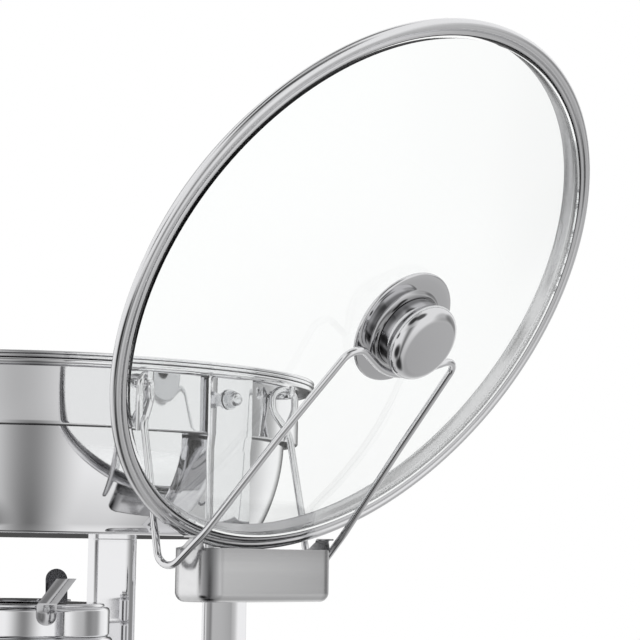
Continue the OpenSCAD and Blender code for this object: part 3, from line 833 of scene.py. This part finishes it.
# the clip has a round foot with a pressed boss, then leans out and aside, with a ridge along its middle
def clipPlace(plan):
    r, top, half = plan["cover"] + 0.45, plan["coverTop"], plan["clipWidth"] / 2
    low, (endOut, endUp) = top - plan["clipLow"], plan["clipEnd"]
    path = roundedPath([Vector((r, 0, low)), Vector((r, 0, top + 0.3)),
                        Vector((r + endOut, 0, top + endUp))], [5], 6)
    rows = [Vector((r, 0, low + half * (1 - math.cos(math.pi / 2 * i / 6)))) for i in range(6)]
    rows += [Vector((r, 0, low + half + i)) for i in range(1, 4)]
    rows += [point for point in path if point.z > rows[-1].z + 0.5]

    def place(row, column):
        point = rows[row]
        depth = min(half, point.z - (low - 0.1))
        wide = math.sqrt(max(0.04, half ** 2 - (half - depth) ** 2))
        slide, side = max(0.0, point.z - top) / endUp, column / 4 - 1
        across = wide * (1 - 0.12 * min(1, 4 * slide) + 0.1 * slide) * side + plan["slide"] * slide
        apart = (across / half) ** 2 + ((point.z - top + plan["bossDrop"]) / half) ** 2
        out = point.x + max(0.0, 1 - apart) ** 2 * plan["boss"] - plan["ridge"] * slide * abs(side)
        turn = math.radians(plan["clipAt"])
        return Vector((out * math.cos(turn) - across * math.sin(turn),
                       out * math.sin(turn) + across * math.cos(turn), point.z))
    return rows, place


giveBody(spunPart(cupProfile(burner), burner["cupSheet"], 128),
         "fuelCup", steelUpright, "burner", "fuel_cup")
giveBody(spunPart(coverProfile(burner), burner["sheet"], 128),
         "burnerCover", coverSteel, "cover", "burner_cover")
clipRows, clipPoint = clipPlace(burner)
giveBody(formedStrip(clipRows, clipPoint, 9, burner["clipSheet"], burner["clipEdge"]),
         "coverClip", clipSatin, "cover", "cover_clip")
print("burner made")


# studio: a pale floor, soft lamps and an even sky
studio = {
    "floorSize": 9.0, "floorFade": (0.5, 1.3),
    "lamps": [("keyLamp", (-0.9, -1.5, 1.9), 1.6, 26.0), ("fillLamp", (1.9, 0.4, 1.4), 1.4, 12.0),
              ("backLamp", (-0.6, 1.9, 1.6), 1.6, 14.0)],
    "aim": (0.1, 0, 0.2),
    "sky": 0.75,
}


def onlyMirrored(piece):
    piece.visible_camera = False
    piece.visible_diffuse = False
    piece.visible_shadow = False
    piece.visible_volume_scatter = False
    piece.visible_transmission = False


def addFloor(plan):
    clearSelection()
    bpy.ops.mesh.primitive_plane_add(size=plan["floorSize"], location=(0, 0, 0))
    floor = bpy.context.object
    floor.name = "floor"
    material, tree, shader = newMaterial("paleFloor")
    x, y, z = tree.split(tree.coordinates())
    away = (x * x + y * y) ** 0.5
    tree.fill(shader, {
        "Base Color": (0.93, 0.93, 0.93, 1), "Roughness": 0.7, "Specular IOR Level": 0.1,
        "Alpha": tree.between(away, *plan["floorFade"], 1.0, 0.0)})
    floor.data.materials.append(material)
    floor.visible_glossy = False


def addLamps(plan):
    for name, place, size, power in plan["lamps"]:
        bpy.ops.object.light_add(type="AREA", location=place)
        lamp = bpy.context.object
        lamp.name = name
        lamp.data.size = size
        lamp.data.energy = power
        lamp.visible_glossy = False
        lamp.visible_transmission = False
        lamp.rotation_euler = (Vector(plan["aim"]) - Vector(place)).to_track_quat("-Z", "Y").to_euler()


def addSky(plan):
    world = bpy.data.worlds.new("studioSky")
    bpy.context.scene.world = world
    world.use_nodes = True
    tree = Tree(world.node_tree)
    world.node_tree.nodes.clear()
    path = tree.add("ShaderNodeLightPath")
    seen = tree.add("ShaderNodeMath", {"operation": "MINIMUM"},
                    {0: path["Is Camera Ray"] + path["Is Glossy Ray"] + path["Is Transmission Ray"], 1: 1.0})
    soft = tree.add("ShaderNodeBackground", {}, {"Color": (1, 1, 1, 1), "Strength": plan["sky"]})
    plain = tree.add("ShaderNodeBackground", {}, {"Color": (1, 1, 1, 1), "Strength": 1.0})
    mixed = tree.add("ShaderNodeMixShader", {}, {0: seen, 1: soft, 2: plain})
    tree.add("ShaderNodeOutputWorld", {}, {"Surface": mixed})


# a big light tent that only polished metal mirrors: white, with soft grey and dark places
tent = {
    "radius": 2.6, "white": 1.06, "below": 0.35, "belowSpan": (-75, -8),
    "columns": [{"azimuth": -45, "half": 34, "depth": 0.50, "low": 1.5, "high": 4.5, "above": True},
                {"azimuth": -40, "half": 27, "depth": 0.74, "low": 1.5, "high": 4.5, "above": False}],
    "patches": [{"azimuth": 66, "elevation": -34, "inner": 8, "outer": 46, "depth": 0.40},
                {"azimuth": 46, "elevation": 3, "inner": 6, "outer": 26, "depth": 0.38},
                {"azimuth": -110, "elevation": 60, "inner": 6, "outer": 22, "depth": 0.94},
                {"azimuth": 172, "elevation": -20, "inner": 4, "outer": 18, "depth": 0.92},
                {"azimuth": -89, "elevation": -50, "inner": 8, "outer": 26, "depth": 0.95},
                {"azimuth": 140, "elevation": 2, "inner": 12, "outer": 32, "depth": 0.93},
                {"azimuth": 0, "elevation": -90, "inner": 8, "outer": 25, "depth": 0.93},
                {"azimuth": 0, "elevation": 90, "inner": 6, "outer": 24, "depth": 0.8},
                {"azimuth": -100, "elevation": 4, "inner": 3, "outer": 12, "depth": 0.92},
                {"azimuth": 68, "elevation": 2, "inner": 8, "outer": 22, "depth": 0.55},
                {"azimuth": -52, "elevation": 34, "inner": 8, "outer": 20, "depth": 0.9},
                {"azimuth": -20, "elevation": 35, "inner": 8, "outer": 20, "depth": 0.88}],
}


def addTent(plan):
    clearSelection()
    bpy.ops.mesh.primitive_uv_sphere_add(segments=48, ring_count=24, radius=plan["radius"])
    shell = bpy.context.object
    shell.name = "lightTent"
    shell.location = studio["aim"]
    bpy.ops.object.shade_smooth()
    material, tree, shader = newMaterial("lightTent")
    here = tree.coordinates()
    out = tree.add("ShaderNodeVectorMath", {"operation": "NORMALIZE"}, {0: here})
    x, y, z = tree.split(out)
    azimuth = tree.add("ShaderNodeMath", {"operation": "ARCTAN2"}, {0: y, 1: x}) * (180 / math.pi)
    elevation = tree.add("ShaderNodeMath", {"operation": "ARCSINE"}, {0: z}) * (180 / math.pi)
    tone = tree.between(elevation, *plan["belowSpan"], 1 - plan["below"], 1.0) * plan["white"]
    for column in plan["columns"]:
        side = tree.between(abs(azimuth - column["azimuth"]), 0.0, column["half"], 1.0, 0.0)
        ends = (0.0, 1.0) if column["above"] else (1.0, 0.0)
        reach = tree.between(elevation, column["low"], column["high"], *ends)
        tone = tone * (1.0 - side * reach * column["depth"])
    for patch in plan["patches"]:
        a, e = math.radians(patch["azimuth"]), math.radians(patch["elevation"])
        aim = (math.cos(e) * math.cos(a), math.cos(e) * math.sin(a), math.sin(e))
        facing = tree.add("ShaderNodeVectorMath", {"operation": "DOT_PRODUCT"}, {0: out, 1: aim})["Value"]
        edges = (math.cos(math.radians(patch[k])) for k in ("outer", "inner"))
        tone = tone * (1.0 - tree.between(facing, *edges) * patch["depth"])
    glow = tree.add("ShaderNodeEmission", {}, {"Color": tree.join(tone, tone, tone), "Strength": 1.0})
    output = material.node_tree.nodes["Material Output"]
    tree.fill(output, {"Surface": glow})
    material.node_tree.nodes.remove(shader)
    shell.data.materials.append(material)
    onlyMirrored(shell)


addFloor(studio)
addLamps(studio)
addSky(studio)
addTent(tent)
print("studio lit")
